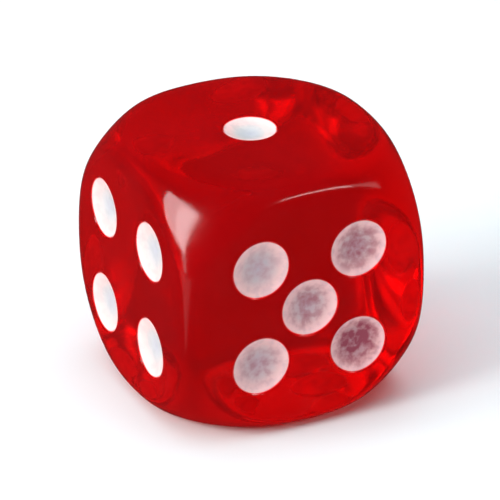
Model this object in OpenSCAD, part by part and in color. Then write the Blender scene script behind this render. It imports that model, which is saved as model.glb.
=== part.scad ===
// Round-cornered six-sided die: one clear red moulding with a shallow round hollow for each
// spot, and a skin of white paint dried in each hollow. The die stands on its six, with the
// one on top. Z is up, and the origin is the middle of the face that it stands on.

/* [Body] */
// Width across two opposite faces
die_w = 16; // [12:0.5:25]
// Radius of the rounding on the edges, as a share of the half width
edge_share = 0.216; // [0.216:0.004:0.26]

/* [Spots] */
// Diameter of a spot, as a share of the width
spot_share = 0.232; // [0.18:0.004:0.236]
// Diameter of the one's single spot, as a share of the width
ace_share = 0.205; // [0.18:0.005:0.24]
// Depth of a hollow, as a share of its own diameter
depth_share = 0.17; // [0.1:0.01:0.26]
// Distance of a corner spot from the middle lines of its face, as a share of the half width
spread_share = 0.39; // [0.34:0.01:0.42]
// Distance of the six's two columns from the middle line, as a share of the half width
column_share = 0.355; // [0.32:0.005:0.4]
// Distance between the six's rows, as a share of the half width
row_share = 0.54; // [0.5:0.01:0.56]

/* [Paint] */
// Thickness of the dried paint
paint_t = 0.12; // [0.08:0.02:0.2]
// Depth of the paint's rim below the face
rim_drop = 0.05; // [0.04:0.01:0.1]

/* [Hidden] */
$fn = 96;
// The die is drawn at this width, and then brought to die_w as a whole
drawn_w = 16;
size = die_w / drawn_w;
half_w = drawn_w / 2;
// Radius of the ball that trims the corners, and of the rounding between a flat and that ball.
// Every die of this shape has these proportions.
corner_r = 1.36 * half_w;
rim_r = 0.3 * half_w;
edge_r = edge_share * half_w;
// Each flat has a round outline of radius flat_r. The rounding beyond it has its centre
// rim_half above the middle of the die, and touches both the flat and the corner ball.
rim_half = half_w - rim_r;
flat_r = sqrt(pow(corner_r - rim_r, 2) - pow(rim_half, 2));
// Angle above the face's plane at which the rounded rim meets the corner ball
rim_angle = atan2(rim_half, flat_r);
// The roundings of the edges cut that outline straight at this distance from its middle
edge_half = half_w - edge_r;
// Size of the blocks that cut, well outside the body
reach = 2 * drawn_w;

spread = spread_share * half_w;
column = column_share * half_w;
row = row_share * half_w;
skin = paint_t / size;
drop = rim_drop / size;
DIAGONAL = [[-spread, spread], [spread, -spread]];
CORNERS = [for (x = [-spread, spread], y = [-spread, spread]) [x, y]];
COLUMNS = [for (x = [-column, column], y = [-row, 0, row]) [x, y]];
MIDDLE = [[0, 0]];

// Each face: its name, the turn that brings +Z onto it, its spots, and their diameter
spot_d = spot_share * drawn_w;
FACES = [
    ["one", [0, 0, 0], MIDDLE, ace_share * drawn_w],
    ["two", [-90, 0, 0], DIAGONAL, spot_d],
    ["three", [0, 90, 0], concat(DIAGONAL, MIDDLE), spot_d],
    ["four", [0, -90, 0], CORNERS, spot_d],
    ["five", [90, 0, 0], concat(CORNERS, MIDDLE), spot_d],
    ["six", [180, 0, 0], COLUMNS, spot_d],
];

function face_name(face) = face[0];
function face_turn(face) = face[1];
function face_spots(face) = face[2];
function face_spot_d(face) = face[3];
function spot_name(face, i) = str(face_name(face), "_spot_", i + 1);

// A hollow is the cap of a ball: its depth, its ball's radius, and that ball's height above
// the middle of the die
function hollow_depth(d) = depth_share * d;
function hollow_ball_r(d) = (pow(d / 2, 2) + pow(hollow_depth(d), 2)) / (2 * hollow_depth(d));
function hollow_ball_z(d) = half_w - hollow_depth(d) + hollow_ball_r(d);

// Puts the children, drawn round the middle of the die, where the die stands, at full size
module stand() {
    scale(size) translate([0, 0, half_w]) children();
}

// Turns the children from +Z onto a face, and moves them to one of its spots
module on_spot(face, i) {
    rotate(face_turn(face)) translate(concat(face_spots(face)[i], [0])) children();
}

// Everything beyond one flat and its rounded rim, out from the corner ball
module beyond_flat() {
    rotate_extrude() difference() {
        polygon([
            [0, rim_half],
            [flat_r, rim_half],
            [reach * cos(rim_angle), reach * sin(rim_angle)],
            [0, reach * sin(rim_angle)],
        ]);
        polygon([[0, 0], [flat_r, rim_half], [flat_r, half_w], [0, half_w]]);
        translate([flat_r, rim_half]) circle(rim_r);
    }
}

// Everything beyond one rounded edge
module beyond_edge() {
    translate([edge_half, edge_half, -reach]) linear_extrude(2 * reach) difference() {
        square(reach);
        circle(edge_r);
    }
}

module die_body() {
    color("firebrick", 0.7) stand() difference() {
        sphere(corner_r);
        for (face = FACES) rotate(face_turn(face)) beyond_flat();
        for (lie = [[0, 0, 0], [90, 0, 0], [0, 90, 0]], turn = [0 : 90 : 270]) {
            rotate(lie) rotate(turn) beyond_edge();
        }
        for (face = FACES, i = [0 : len(face_spots(face)) - 1]) {
            on_spot(face, i) hollow(face_spot_d(face));
        }
    }
}

// The ball that cuts one hollow
module hollow(d) {
    translate([0, 0, hollow_ball_z(d)]) sphere(hollow_ball_r(d));
}

// The paint in one hollow: an even skin on its wall that stops just short of the face
module spot(face, i) {
    d = face_spot_d(face);
    ball_r = hollow_ball_r(d);
    color("white") stand() on_spot(face, i) difference() {
        intersection() {
            hollow(d);
            translate([0, 0, half_w - ball_r - drop]) cylinder(d = d, h = ball_r);
        }
        translate([0, 0, hollow_ball_z(d)]) sphere(ball_r - skin);
    }
}

die_body();
for (face = FACES, i = [0 : len(face_spots(face)) - 1]) {
    spot(face, i);
}
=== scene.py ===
import math

import bpy
import numpy as np
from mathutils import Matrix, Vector
from mathutils.geometry import delaunay_2d_cdt


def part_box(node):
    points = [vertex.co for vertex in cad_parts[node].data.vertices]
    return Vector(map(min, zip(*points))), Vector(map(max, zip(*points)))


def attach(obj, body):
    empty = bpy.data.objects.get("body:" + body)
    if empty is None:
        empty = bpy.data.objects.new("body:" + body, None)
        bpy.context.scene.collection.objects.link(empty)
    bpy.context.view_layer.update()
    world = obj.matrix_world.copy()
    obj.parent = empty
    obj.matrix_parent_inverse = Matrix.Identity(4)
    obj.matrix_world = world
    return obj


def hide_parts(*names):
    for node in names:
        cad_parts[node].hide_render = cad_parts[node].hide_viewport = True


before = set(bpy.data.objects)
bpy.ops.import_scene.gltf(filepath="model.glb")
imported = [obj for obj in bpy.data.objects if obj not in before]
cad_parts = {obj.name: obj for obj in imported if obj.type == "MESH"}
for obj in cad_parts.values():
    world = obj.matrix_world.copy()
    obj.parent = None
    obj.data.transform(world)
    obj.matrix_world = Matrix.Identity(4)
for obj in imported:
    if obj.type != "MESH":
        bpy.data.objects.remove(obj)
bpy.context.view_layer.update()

# The mesh work is in millimetres round the middle of the die; metres come last.
MM = 0.001

# --- Sizes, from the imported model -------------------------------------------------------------

BODY_LOW, BODY_HIGH = (np.array(corner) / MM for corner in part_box("die_body"))
MIDDLE = (BODY_LOW + BODY_HIGH) / 2
HALF = (BODY_HIGH[0] - BODY_LOW[0]) / 2
SPOT_NODES = sorted(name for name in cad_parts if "_spot_" in name)

# The rounding of the body, which the CAD makes of arcs: a cube with its edges rounded by a
# high power, run smoothly into a ball by a higher one. Sizes are shares of the half width.
BALL_SHARE = 1.3605
EDGE_POWER = 15.4
BALL_POWER = 35.0

# Mesh density. The inner part of a face, out to INNER_SHARE of the way, is triangulated round
# the hollows, and the rest is a grid of quads.
INNER_SHARE = 0.84
INNER_STEPS = 20
OUTER_STEPS = 14
SPOT_STEPS = 96
LIP_STEPS = 6
BOWL_STEPS = 18
HALVINGS = 40
# Vertices are joined if they fall on the same point of a lattice with this many steps per mm
LATTICE = 2e4

# Radius of the softened lip of each hollow
LIP = 0.07
# Thickness of the paint in its middle, and how far its underside reaches into the body
PAINT_MIDDLE = 0.15
PAINT_SINK = 0.012
# How far the paint's rim wanders up and down, as a share of its depth below the face
RIM_WANDER = 0.25
# Where the paint's upper side begins, as a share of its rim's radius
UPPER_START = 0.99
PAINT_SEED = 100
# How far the red shows through the middle of a spot: 1 is the most. For the five's spots this is
# also painted shade, deepest on five_spot_3. Spots that aren't listed get a random share up to
# MOST_THIN.
MOST_THIN = 0.2
THIN_AND_SHADED_SPOTS = {
    "one_spot_1": 0.0,
    "four_spot_1": 0.0,
    "four_spot_2": 0.0,
    "four_spot_3": 0.0,
    "four_spot_4": 0.0,
    "five_spot_1": 0.4,
    "five_spot_2": 0.3,
    "five_spot_3": 1.0,
    "five_spot_4": 0.65,
    "five_spot_5": 0.55,
}

# The paint's colour from its middle to its rim, by share of the radius: painted shade and a
# painted bluish reflection in the middle, and a painted pink highlight towards the rim
PAINT_SHADE_AND_HIGHLIGHT_COLOURS = [
    (0.0, (0.50, 0.50, 0.56, 1)),
    (0.3, (0.54, 0.53, 0.55, 1)),
    (0.5, (0.62, 0.56, 0.55, 1)),
    (0.72, (0.86, 0.58, 0.55, 1)),
    (0.9, (1.0, 0.63, 0.61, 1)),
    (1.0, (0.95, 0.52, 0.50, 1)),
]
# The red that shows through the paint, by how thin the paint is; its darker upper end is painted
# shade on the five's listed spots
STAIN_AND_SHADE_COLOURS = [
    (0.2, (1.0, 0.35, 0.45, 1)),
    (0.5, (0.60, 0.10, 0.15, 1)),
    (1.0, (0.38, 0.06, 0.10, 1)),
]

TURNS = 2 * math.pi * np.arange(SPOT_STEPS) / SPOT_STEPS


# --- Small helpers ----------------------------------------------------------------------------

def face_axes(axis, sign):
    """The two directions along a face and its outward normal, right-handed."""
    normal = np.zeros(3)
    normal[axis] = sign
    along = np.zeros(3)
    along[(axis + 1) % 3] = 1.0
    return along, np.cross(normal, along), normal


def to_body(axes, points):
    """Points or directions from a face's own frame into the die's."""
    along, across, normal = axes
    points = np.asarray(points, float)
    return points[:, :1] * along + points[:, 1:2] * across + points[:, 2:3] * normal


class Shell:
    """Collects vertices with their normals, and faces, and joins vertices that coincide."""

    def __init__(self):
        self.index = {}
        self.points = []
        self.normals = []
        self.values = {}
        self.faces = []

    def add(self, points, normals, **values):
        """The vertices' numbers; values give each of them a value under a name."""
        ids = []
        for point, normal in zip(points, normals):
            key = tuple(np.floor(np.asarray(point) * LATTICE + 0.5).astype(int))
            if key not in self.index:
                self.index[key] = len(self.points)
                self.points.append(point)
                self.normals.append(normal)
                for name, value in values.items():
                    self.values.setdefault(name, []).append(value)
            ids.append(self.index[key])
        return ids

    def face(self, *corners):
        kept = [c for i, c in enumerate(corners) if c != corners[i - 1]]
        if len(set(kept)) > 2:
            self.faces.append(kept)

    def grid(self, rows, closed=False):
        """Faces between rows of vertices; each row runs anticlockwise seen from outside."""
        for lower, upper in zip(rows, rows[1:]):
            count = len(lower)
            for i in range(count if closed else count - 1):
                j = (i + 1) % count
                self.face(lower[i], lower[j], upper[j], upper[i])

    def build(self, name):
        mesh = bpy.data.meshes.new(name)
        points = (np.array(self.points) + MIDDLE) * MM
        mesh.from_pydata(points.tolist(), [], self.faces)
        mesh.polygons.foreach_set("use_smooth", [True] * len(mesh.polygons))
        normals = np.array(self.normals)
        normals /= np.linalg.norm(normals, axis=1)[:, None]
        mesh.normals_split_custom_set_from_vertices(normals.tolist())
        for value_name, values in self.values.items():
            layer = mesh.attributes.new(value_name, "FLOAT", "POINT")
            layer.data.foreach_set("value", np.array(values, np.float32))
        mesh.validate()
        piece = bpy.data.objects.new(name, mesh)
        bpy.context.scene.collection.objects.link(piece)
        return piece


# --- The body's surface -----------------------------------------------------------------------

BALL_WEIGHT = BALL_SHARE ** -BALL_POWER
FACE_LEVEL = (1 + BALL_WEIGHT) ** (1 / BALL_POWER)


def level(points):
    """How far out points are, in half widths: 1 on the body's surface."""
    cube = (np.abs(points) ** EDGE_POWER).sum(-1) ** (1 / EDGE_POWER)
    ball = np.linalg.norm(points, axis=-1)
    both = cube ** BALL_POWER + ball ** BALL_POWER * BALL_WEIGHT
    return both ** (1 / BALL_POWER) / FACE_LEVEL


def normals_at(points):
    """The surface's outward normals at points on it, given in half widths."""
    size = np.abs(points)
    cube = (size ** EDGE_POWER).sum(-1, keepdims=True) ** (1 / EDGE_POWER)
    ball = np.linalg.norm(points, axis=-1, keepdims=True)
    slope = cube ** (BALL_POWER - EDGE_POWER) * size ** (EDGE_POWER - 1) * np.sign(points)
    slope = slope + ball ** (BALL_POWER - 2) * BALL_WEIGHT * points
    return slope / np.linalg.norm(slope, axis=-1, keepdims=True)


def surface_at(x, y):
    """Heights and normals of a face above points, in the face's frame, in millimetres."""
    x, y = np.asarray(x, float) / HALF, np.asarray(y, float) / HALF
    # The height is found by halving a span that starts well inside the body and ends outside
    low, high = np.full(x.shape, 0.3), np.full(x.shape, 1.01)
    for _ in range(HALVINGS):
        middle = (low + high) / 2
        outside = level(np.stack([x, y, middle], -1)) > 1
        high = np.where(outside, middle, high)
        low = np.where(outside, low, middle)
    points = np.stack([x, y, high], -1)
    return high * HALF, normals_at(points)


class Hollow:
    """One spot's hollow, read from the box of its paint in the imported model."""

    def __init__(self, node):
        low, high = (np.array(corner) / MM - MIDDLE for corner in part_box(node))
        centre = (low + high) / 2
        self.node = node
        self.axis = int(np.argmax(np.abs(centre)))
        self.sign = 1.0 if centre[self.axis] > 0 else -1.0
        self.axes = face_axes(self.axis, self.sign)
        self.x = centre @ self.axes[0]
        self.y = centre @ self.axes[1]
        reach = sorted(abs(side[self.axis]) for side in (low, high))
        rim_radius = (high - low)[(self.axis + 1) % 3] / 2
        self.rim_drop = HALF - reach[1]
        self.depth = HALF - reach[0]
        cap = self.depth - self.rim_drop
        self.ball = (rim_radius ** 2 + cap ** 2) / (2 * cap)
        self.ball_z = self.ball - self.depth
        self.lip_radius = math.sqrt((self.ball + LIP) ** 2 - (self.ball_z + LIP) ** 2)

    def place(self, radius, z):
        """A ring of points of the hollow, let down where the face round it is already rounded.

        Also gives the face's normals there, and how much of that rounding the ring follows.
        """
        x = self.x + radius * np.cos(TURNS)
        y = self.y + radius * np.sin(TURNS)
        height, normals = surface_at(x, y)
        z = z + 0.0 * x
        fade = np.maximum(0.0, 1 + z / self.depth) ** 2
        points = np.stack([x, y, HALF + z - (HALF - height) * fade], -1)
        return points, normals, fade[:, None]


def ring_normals(outward, upward):
    """Normals of a ring that lean outward by one share and upward by another."""
    flat = np.ones(SPOT_STEPS)
    return np.stack([outward * np.cos(TURNS), outward * np.sin(TURNS), upward * flat], -1)


def hollow_rows(hollow):
    """Rings down the lip and the bowl: points and outward normals, in the face's frame."""
    profile = []
    end = math.atan2(hollow.ball_z + LIP, -hollow.lip_radius)
    for lean in np.linspace(math.pi / 2, end, LIP_STEPS + 1):
        radius = hollow.lip_radius + LIP * math.cos(lean)
        profile.append((radius, LIP * math.sin(lean) - LIP, math.cos(lean), math.sin(lean)))
    widest = math.asin(hollow.lip_radius / (hollow.ball + LIP))
    for lean in np.linspace(widest, 0, BOWL_STEPS + 1)[1:-1]:
        z = hollow.ball_z - hollow.ball * math.cos(lean)
        profile.append((hollow.ball * math.sin(lean), z, -math.sin(lean), math.cos(lean)))
    rows = []
    for radius, z, outward, upward in profile:
        points, face_normals, fade = hollow.place(radius, z)
        tilt = (face_normals - np.array([0, 0, 1.0])) * fade
        rows.append((points, ring_normals(outward, upward) + tilt))
    return rows


def face_grid():
    """Points and normals of one face, out to the middle of its edges, in its own frame."""
    inner = np.linspace(-INNER_SHARE, INNER_SHARE, 2 * INNER_STEPS + 1)
    outer = np.linspace(INNER_SHARE, 1, OUTER_STEPS + 1)[1:]
    steps = np.concatenate([-outer[::-1], inner, outer])
    along, across = np.meshgrid(steps, steps, indexing="ij")
    ways = np.stack([along, across, np.ones_like(along)], -1)
    points = ways / level(ways)[..., None]
    return points * HALF, normals_at(points)


def add_face(shell, axes, hollows):
    """One face, with a round gap for each hollow: triangles inside, a frame of quads round it."""
    points, normals = face_grid()
    side = len(points)
    flat_points = to_body(axes, points.reshape(-1, 3))
    ids = shell.add(flat_points, to_body(axes, normals.reshape(-1, 3)))
    ids = np.array(ids).reshape(side, side)
    first, last = OUTER_STEPS, side - 1 - OUTER_STEPS
    for i in range(side - 1):
        for j in range(side - 1):
            if not (first <= i < last and first <= j < last):
                shell.face(ids[i, j], ids[i + 1, j], ids[i + 1, j + 1], ids[i, j + 1])
    spans = range(first, last)
    border = [(i, first) for i in spans] + [(last, j) for j in spans]
    border += [(i + 1, last) for i in reversed(spans)] + [(first, j + 1) for j in reversed(spans)]
    flat = [points[cell][:2] for cell in border]
    corner_ids = [ids[cell] for cell in border]
    rim = list(range(len(border)))
    edges = list(zip(rim, rim[1:] + rim[:1]))
    for i in range(first + 1, last):
        for j in range(first + 1, last):
            x, y = points[i, j, :2]
            gaps = [math.hypot(x - h.x, y - h.y) - h.lip_radius for h in hollows]
            if min(gaps) > 2 * LIP:
                flat.append((x, y))
                corner_ids.append(ids[i, j])
    for hollow in hollows:
        ring, ring_normal, _ = hollow.place(hollow.lip_radius, 0.0)
        loop = list(range(len(flat), len(flat) + SPOT_STEPS))
        edges.extend(zip(loop, loop[1:] + loop[:1]))
        flat.extend(ring[:, :2])
        corner_ids.extend(shell.add(to_body(axes, ring), to_body(axes, ring_normal)))
    flat = [Vector(point) for point in flat]
    result = delaunay_2d_cdt(flat, edges, [rim], 1, 1e-6, True)
    inside = math.cos(math.pi / SPOT_STEPS)
    for triangle in result[2]:
        corners = [result[3][i][0] for i in triangle]
        x, y = np.mean([flat[i] for i in corners], axis=0)
        if any(math.hypot(x - h.x, y - h.y) < h.lip_radius * inside for h in hollows):
            continue
        a, b, c = (flat[i] for i in corners)
        if (b - a).cross(c - a) < 0:
            corners.reverse()
        shell.face(*(corner_ids[i] for i in corners))


def add_hollow(shell, hollow):
    rows = []
    for points, normals in hollow_rows(hollow):
        rows.append(shell.add(to_body(hollow.axes, points), to_body(hollow.axes, normals)))
    shell.grid(rows, closed=True)
    bottom = [[hollow.x, hollow.y, HALF - hollow.depth]]
    centre = shell.add(to_body(hollow.axes, bottom), to_body(hollow.axes, [[0, 0, 1]]))[0]
    last = rows[-1]
    for a, b in zip(last, last[1:] + last[:1]):
        shell.face(a, b, centre)


def make_body(hollows):
    shell = Shell()
    for axis in range(3):
        for sign in (1.0, -1.0):
            own = [h for h in hollows if h.axis == axis and h.sign == sign]
            add_face(shell, face_axes(axis, sign), own)
    for hollow in hollows:
        add_hollow(shell, hollow)
    return shell.build("die_moulding")


# --- The paint --------------------------------------------------------------------------------

def wobble(phases):
    """A slow, uneven run round a spot, from about -1 to 1."""
    waves = [np.sin((k + 2) * TURNS + phase) / (k + 1) for k, phase in enumerate(phases)]
    return sum(waves) / 2


def make_paint(hollow, index):
    """The dried paint of one spot: a skin on the bowl, thickest in the middle."""
    random = np.random.RandomState(PAINT_SEED + index)
    # For the five's listed spots this share is painted shade as well as thin paint
    thinness = THIN_AND_SHADED_SPOTS.get(hollow.node, random.uniform(0.0, MOST_THIN))
    ball = hollow.ball + PAINT_SINK
    phases = random.uniform(0, 2 * math.pi, 4)
    drop = hollow.rim_drop * (1 + RIM_WANDER * wobble(phases))
    rim_lean = np.arccos((hollow.ball_z + drop) / ball)
    rim_radius = ball * np.sin(rim_lean)
    rim_depth = ball * np.cos(rim_lean) - hollow.ball_z
    rows = []
    for step in range(1, BOWL_STEPS + 1):
        lean = rim_lean * step / BOWL_STEPS
        points, _, _ = hollow.place(ball * np.sin(lean), hollow.ball_z - ball * np.cos(lean))
        rows.append((points, ring_normals(np.sin(lean), -np.cos(lean)), 1.0))
    for step in range(BOWL_STEPS, 0, -1):
        share = step / BOWL_STEPS * UPPER_START
        fall = hollow.depth - PAINT_MIDDLE - rim_depth
        points, _, _ = hollow.place(rim_radius * share, -rim_depth - fall * (1 - share ** 2))
        rows.append((points, ring_normals(-2 * fall * share / rim_radius, 1.0), share))
    shell = Shell()
    ids = []
    under, over = HALF - hollow.depth - PAINT_SINK, HALF - hollow.depth + PAINT_MIDDLE
    rows.insert(0, ([[hollow.x, hollow.y, under]], [[0, 0, -1]], 0.0))
    rows.append(([[hollow.x, hollow.y, over]], [[0, 0, 1]], 0.0))
    for points, normals, share in rows:
        points, normals = to_body(hollow.axes, points), to_body(hollow.axes, normals)
        ids.append(shell.add(
            points, normals, rim_share=share, thinness=thinness * (1 - share ** 3),
        ))
    shell.grid(ids[1:-1], closed=True)
    for (centre,), loop in ((ids[0], ids[1][::-1]), (ids[-1], ids[-2])):
        for a, b in zip(loop, loop[1:] + loop[:1]):
            shell.face(a, b, centre)
    return shell.build(hollow.node + "_paint")


# --- Materials --------------------------------------------------------------------------------

# A noise pattern: its scale in cells per metre, its detail, and the range of its values that
# is stretched over a run of colours or values
CLOUDS = {"scale": 170.0, "detail": 4.0, "span": (0.38, 0.64)}
SMUDGES = {"scale": 420.0, "detail": 5.0, "span": (0.35, 0.7)}
RIPPLES = {"scale": 330.0, "detail": 2.0}
GRAIN = {"scale": 2000.0, "detail": 4.0}

ACRYLIC_PALE = (0.95, 0.008, 0.016, 1)
ACRYLIC_DEEP = (0.86, 0.004, 0.008, 1)
ACRYLIC_ROUGHNESS = (0.08, 0.16)
ACRYLIC_RIPPLE_STRENGTH = 0.4
ACRYLIC_RIPPLE_HEIGHT = 0.00008
# The rest of the surface colour is the milkiness that scatters light back
ACRYLIC_CLEAR = 0.88
ACRYLIC_IOR = 1.49
ABSORBED_COLOUR = (0.945, 0.0, 0.04, 1)
ABSORBED_DENSITY = 500.0

MOTTLE_COLOUR = (0.41, 0.40, 0.42, 1)
MOTTLE_SPAN = (0.44, 0.62)
MOTTLE_MOST = 0.3
# How much the grain of the paint weakens or strengthens the red that shows through
STAIN_SPAN = (0.36, 0.66)
STAIN_RANGE = (0.6, 1.4)
ENAMEL_BUMP_STRENGTH = 0.25
ENAMEL_BUMP_HEIGHT = 0.00004
ENAMEL_ROUGHNESS = 0.4


def new_material(name):
    material = bpy.data.materials.new(name)
    material.use_nodes = True
    tree = material.node_tree
    return material, tree, tree.nodes["Principled BSDF"]


def add_noise(tree, pattern):
    """The value of a noise pattern that is fixed to the object."""
    where = tree.nodes.new("ShaderNodeTexCoord")
    noise = tree.nodes.new("ShaderNodeTexNoise")
    noise.inputs["Scale"].default_value = pattern["scale"]
    noise.inputs["Detail"].default_value = pattern["detail"]
    tree.links.new(where.outputs["Object"], noise.inputs["Vector"])
    return noise.outputs["Fac"]


def remap(tree, value, old, new):
    """The value, clamped to the range old and stretched onto the range new."""
    node = tree.nodes.new("ShaderNodeMapRange")
    for name, bound in zip(("From Min", "From Max", "To Min", "To Max"), old + new):
        node.inputs[name].default_value = bound
    tree.links.new(value, node.inputs["Value"])
    return node.outputs["Result"]


def switch(tree, value, old, low, high):
    """Runs from low to high as the value crosses the range old; both may be numbers or sockets."""
    result = remap(tree, value, old, (0.0, 0.0))
    for name, end in (("To Min", low), ("To Max", high)):
        socket = result.node.inputs[name]
        if isinstance(end, bpy.types.NodeSocket):
            tree.links.new(end, socket)
        else:
            socket.default_value = end
    return result


def combine(tree, operation, first, second):
    """A sum or product of two values."""
    node = tree.nodes.new("ShaderNodeMath")
    node.operation = operation
    tree.links.new(first, node.inputs[0])
    tree.links.new(second, node.inputs[1])
    return node.outputs["Value"]


def blend(tree, share):
    """A node that mixes colour A into colour B by share."""
    mix = tree.nodes.new("ShaderNodeMix")
    mix.data_type = "RGBA"
    tree.links.new(share, mix.inputs["Factor"])
    return mix


def add_ramp(tree, value, colours):
    """A run of colours over the value; colours lists each stop's position and colour."""
    ramp = tree.nodes.new("ShaderNodeValToRGB")
    stops = ramp.color_ramp.elements
    for stop, (position, colour) in zip(stops, (colours[0], colours[-1])):
        stop.position = position
        stop.color = colour
    for position, colour in colours[1:-1]:
        stops.new(position).color = colour
    tree.links.new(value, ramp.inputs["Fac"])
    return ramp.outputs["Color"]


def add_bump(tree, height, strength, distance, shader):
    bump = tree.nodes.new("ShaderNodeBump")
    bump.inputs["Strength"].default_value = strength
    bump.inputs["Distance"].default_value = distance
    tree.links.new(height, bump.inputs["Height"])
    tree.links.new(bump.outputs["Normal"], shader.inputs["Normal"])


def red_acrylic():
    """Clear red, a little milky, with a tumbled surface that is slightly wavy and smudged."""
    material, tree, shader = new_material("red_acrylic")
    clouds = remap(tree, add_noise(tree, CLOUDS), CLOUDS["span"], (0.0, 1.0))
    tint = blend(tree, clouds)
    tint.inputs["A"].default_value = ACRYLIC_PALE
    tint.inputs["B"].default_value = ACRYLIC_DEEP
    tree.links.new(tint.outputs["Result"], shader.inputs["Base Color"])
    smudges = remap(tree, add_noise(tree, SMUDGES), SMUDGES["span"], ACRYLIC_ROUGHNESS)
    tree.links.new(smudges, shader.inputs["Roughness"])
    ripples = add_noise(tree, RIPPLES)
    add_bump(tree, ripples, ACRYLIC_RIPPLE_STRENGTH, ACRYLIC_RIPPLE_HEIGHT, shader)
    shader.inputs["Transmission Weight"].default_value = ACRYLIC_CLEAR
    shader.inputs["IOR"].default_value = ACRYLIC_IOR
    volume = tree.nodes.new("ShaderNodeVolumeAbsorption")
    volume.inputs["Color"].default_value = ABSORBED_COLOUR
    volume.inputs["Density"].default_value = ABSORBED_DENSITY
    output = tree.nodes["Material Output"]
    tree.links.new(volume.outputs["Volume"], output.inputs["Volume"])
    return material


def white_enamel():
    """Mottled white paint with painted shade and a painted bluish reflection in its middle and a
    painted pink highlight round its rim, with red showing through where it is thin, and painted
    shade on the five's listed spots.
    """
    material, tree, shader = new_material("white_enamel")
    share = tree.nodes.new("ShaderNodeAttribute")
    share.attribute_name = "rim_share"
    # The ramp paints shade and a bluish reflection into the middle of each spot and a pink
    # highlight at its rim
    paint = add_ramp(tree, share.outputs["Fac"], PAINT_SHADE_AND_HIGHLIGHT_COLOURS)
    thin = tree.nodes.new("ShaderNodeAttribute")
    thin.attribute_name = "thinness"
    grain = add_noise(tree, GRAIN)
    mottle = blend(tree, remap(tree, grain, MOTTLE_SPAN, (0.0, MOTTLE_MOST)))
    tree.links.new(paint, mottle.inputs["A"])
    mottle.inputs["B"].default_value = MOTTLE_COLOUR
    uneven = remap(tree, grain, STAIN_SPAN, STAIN_RANGE)
    # The dark red at the upper end of this share is painted shade on the five's listed spots
    amount = combine(tree, "MULTIPLY", thin.outputs["Fac"], uneven)
    amount.node.use_clamp = True
    stain_and_shade = blend(tree, amount)
    tree.links.new(mottle.outputs["Result"], stain_and_shade.inputs["A"])
    tree.links.new(add_ramp(tree, amount, STAIN_AND_SHADE_COLOURS), stain_and_shade.inputs["B"])
    tree.links.new(stain_and_shade.outputs["Result"], shader.inputs["Base Color"])
    add_bump(tree, grain, ENAMEL_BUMP_STRENGTH, ENAMEL_BUMP_HEIGHT, shader)
    shader.inputs["Roughness"].default_value = ENAMEL_ROUGHNESS
    return material


# --- Stage, lights and camera -----------------------------------------------------------------

TARGET = Vector(MIDDLE * MM)
# The photograph's viewing angle: the camera stands to the left of the five, above it
VIEW_AZIMUTH = -25.8
VIEW_ELEVATION = 27.5
VIEW_DISTANCE = 22.7 * 2 * HALF * MM
LENS = 446.0
CLIP_START = 0.01
CLIP_END = 20.0

# The plain floor reaches this far each way, and lies just under the die
FLOOR_REACH = 3.0
FLOOR_DROP = 0.00003
FLOOR_COLOUR = (0.78, 0.78, 0.78, 1)
FLOOR_ROUGHNESS = 0.9

# How bright the surroundings are in reflections, and what the camera sees beyond the floor
SURROUNDINGS = 0.022
BACKDROP = 0.9
# How bright the floor on the left is in reflections, and the edges of the part that shows: the
# first number of each pair is where it starts to show, and the second where it shows fully
FLOOR_GLOW = 0.5
FLOOR_GLOW_DEPTH = (0.0, -0.06)
FLOOR_GLOW_EDGES = {"X": (-0.8, -0.9), "Y": (0.06, -0.06)}
# How bright the room is through the die: at its horizon, what is added by the height, and what
# is added beyond some edges, given like those of the floor's glow
ROOM_HORIZON = 0.33
ROOM_ABOVE = 1.0
ROOM_ABOVE_SPAN = (0.0, 0.7)
ROOM_GLOWS = [
    (0.17, {"Z": (-0.05, -0.4)}),
    (0.4, {"X": (0.0, -0.5)}),
    (2.6, {"X": (-0.4, -0.85), "Z": (-0.05, 0.2)}),
    (0.25, {"Y": (0.0, -0.6)}),
    (1.9, {"Y": (-0.45, -0.75), "Z": (0.05, 0.3)}),
    (0.35, {"Y": (0.1, 0.4), "X": (0.1, -0.2), "Z": (0.0, -0.3)}),
]

# The soft boxes: the way and distance to each, its size, how far it is turned about its own
# axis, its radiance, and its colour. Those that aren't mirrored don't show in glossy surfaces,
# and those that aren't seen through don't show through clear ones.
LIGHTS = [
    {"name": "key", "way": (-89, 29.4), "distance": 1.2, "size": (0.69, 0.66), "glow": 7.4},
    {"name": "key_core", "way": (-80.5, 30.5), "distance": 1.19, "size": (0.3, 0.5), "glow": 3.9},
    {"name": "wash", "way": (-90, 30), "distance": 1.5, "size": (1.5, 1.5), "glow": 1.6,
     "mirrored": False, "seen_through": False},
    {"name": "overhead", "way": (0, 90), "distance": 2.0, "size": (2.6, 2.6), "glow": 2.6,
     "colour": (0.8, 0.94, 1.0), "mirrored": False, "seen_through": False},
    {"name": "key_tail", "way": (-75.5, 10), "distance": 1.21, "size": (0.14, 0.38), "glow": 2.4,
     "seen_through": False},
    {"name": "fill", "way": (50, 28.5), "distance": 1.5, "size": (1.75, 0.14), "glow": 1.25,
     "turn": -10},
    {"name": "fill_core", "way": (33, 29.5), "distance": 1.49, "size": (0.75, 0.14), "glow": 5.6,
     "turn": -4},
]

MAX_BOUNCES = 24
TRANSMISSION_BOUNCES = 20
GLOSSY_BOUNCES = 12
DIFFUSE_BOUNCES = 6


def direction(azimuth, elevation):
    """The way from the die towards azimuth, which is 0 at -Y and 90 at +X."""
    a, e = math.radians(azimuth), math.radians(elevation)
    return Vector((math.sin(a) * math.cos(e), -math.cos(a) * math.cos(e), math.sin(e)))


def aim(piece):
    """Turns a light or camera so that its -Z looks at the die."""
    way = TARGET - piece.location
    piece.rotation_euler = way.to_track_quat("-Z", "Y").to_euler()


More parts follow.
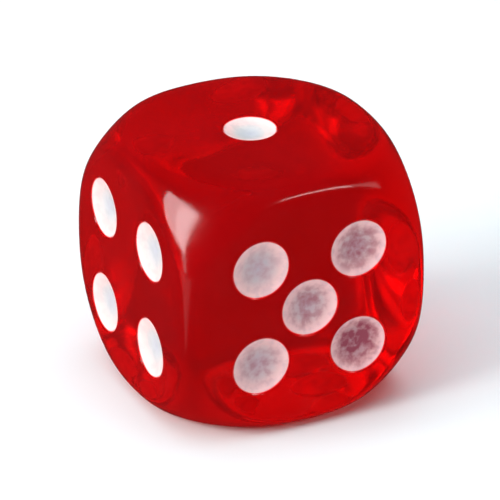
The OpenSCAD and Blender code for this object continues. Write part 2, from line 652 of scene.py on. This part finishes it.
def make_light(light):
    """A rectangular light of a given radiance, aimed at the die."""
    width, height = light["size"]
    lamp = bpy.data.lights.new(light["name"], "AREA")
    lamp.shape = "RECTANGLE"
    lamp.size = width
    lamp.size_y = height
    lamp.energy = light["glow"] * math.pi * width * height
    lamp.color = light.get("colour", (1.0, 1.0, 1.0))
    piece = bpy.data.objects.new(light["name"], lamp)
    bpy.context.scene.collection.objects.link(piece)
    piece.location = TARGET + direction(*light["way"]) * light["distance"]
    aim(piece)
    piece.rotation_euler.rotate_axis("Z", math.radians(light.get("turn", 0)))
    piece.visible_glossy = light.get("mirrored", True)
    piece.visible_transmission = light.get("seen_through", True)


def make_floor():
    mesh = bpy.data.meshes.new("floor")
    corners = [
        (x * FLOOR_REACH, y * FLOOR_REACH, -FLOOR_DROP)
        for x, y in ((-1, -1), (1, -1), (1, 1), (-1, 1))
    ]
    mesh.from_pydata(corners, [], [(0, 1, 2, 3)])
    floor = bpy.data.objects.new("floor", mesh)
    bpy.context.scene.collection.objects.link(floor)
    material, _, shader = new_material("pale_floor")
    shader.inputs["Base Color"].default_value = FLOOR_COLOUR
    shader.inputs["Roughness"].default_value = FLOOR_ROUGHNESS
    mesh.materials.append(material)
    # The die's clear faces would mirror it and lose their colour, and show its own dark shadow
    floor.visible_glossy = False
    floor.visible_transmission = False


def room_brightness(tree, parts):
    """How bright the room is that shows through the die, by direction."""
    above = (ROOM_HORIZON, ROOM_HORIZON + ROOM_ABOVE)
    room = remap(tree, parts.outputs["Z"], ROOM_ABOVE_SPAN, above)
    for amount, edges in ROOM_GLOWS:
        glow = amount
        for axis, edge in edges.items():
            glow = switch(tree, parts.outputs[axis], edge, 0.0, glow)
        room = combine(tree, "ADD", room, glow)
    return room


def mirrored_brightness(tree, parts):
    """How bright the surroundings are in reflections: dark, but for the floor on the left."""
    mirrored = switch(tree, parts.outputs["Z"], FLOOR_GLOW_DEPTH, SURROUNDINGS, FLOOR_GLOW)
    for axis, edge in FLOOR_GLOW_EDGES.items():
        mirrored = switch(tree, parts.outputs[axis], edge, SURROUNDINGS, mirrored)
    return mirrored


def make_world():
    """Dark surroundings in reflections, a pale room through the die, and a pale backdrop."""
    world = bpy.data.worlds.new("studio")
    bpy.context.scene.world = world
    world.use_nodes = True
    tree = world.node_tree
    background = tree.nodes["Background"]
    background.inputs["Color"].default_value = (1, 1, 1, 1)
    where = tree.nodes.new("ShaderNodeTexCoord")
    parts = tree.nodes.new("ShaderNodeSeparateXYZ")
    tree.links.new(where.outputs["Generated"], parts.inputs["Vector"])
    mirrored = mirrored_brightness(tree, parts)
    room = room_brightness(tree, parts)
    rays = tree.nodes.new("ShaderNodeLightPath")
    strength = switch(tree, rays.outputs["Is Transmission Ray"], (0.0, 1.0), mirrored, room)
    strength = switch(tree, rays.outputs["Is Camera Ray"], (0.0, 1.0), strength, BACKDROP)
    tree.links.new(strength, background.inputs["Strength"])


def make_camera():
    data = bpy.data.cameras.new("camera")
    data.lens = LENS
    data.clip_start = CLIP_START
    data.clip_end = CLIP_END
    camera = bpy.data.objects.new("camera", data)
    bpy.context.scene.collection.objects.link(camera)
    camera.location = TARGET + direction(VIEW_AZIMUTH, VIEW_ELEVATION) * VIEW_DISTANCE
    aim(camera)
    bpy.context.scene.camera = camera


def set_light_paths():
    cycles = bpy.context.scene.cycles
    cycles.max_bounces = MAX_BOUNCES
    cycles.transmission_bounces = TRANSMISSION_BOUNCES
    cycles.glossy_bounces = GLOSSY_BOUNCES
    cycles.diffuse_bounces = DIFFUSE_BOUNCES
    cycles.use_denoising = True
    view = bpy.context.scene.view_settings
    view.view_transform = "Standard"
    view.look = "None"


# --- The scene --------------------------------------------------------------------------------

hollows = [Hollow(node) for node in SPOT_NODES]
body = make_body(hollows)
body.data.materials.append(red_acrylic())
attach(body, "root")
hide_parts("die_body")

enamel = white_enamel()
for index, hollow in enumerate(hollows):
    paint = make_paint(hollow, index)
    paint.data.materials.append(enamel)
    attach(paint, "root")
    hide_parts(hollow.node)

make_floor()
make_world()
make_camera()
set_light_paths()
for light in LIGHTS:
    make_light(light)
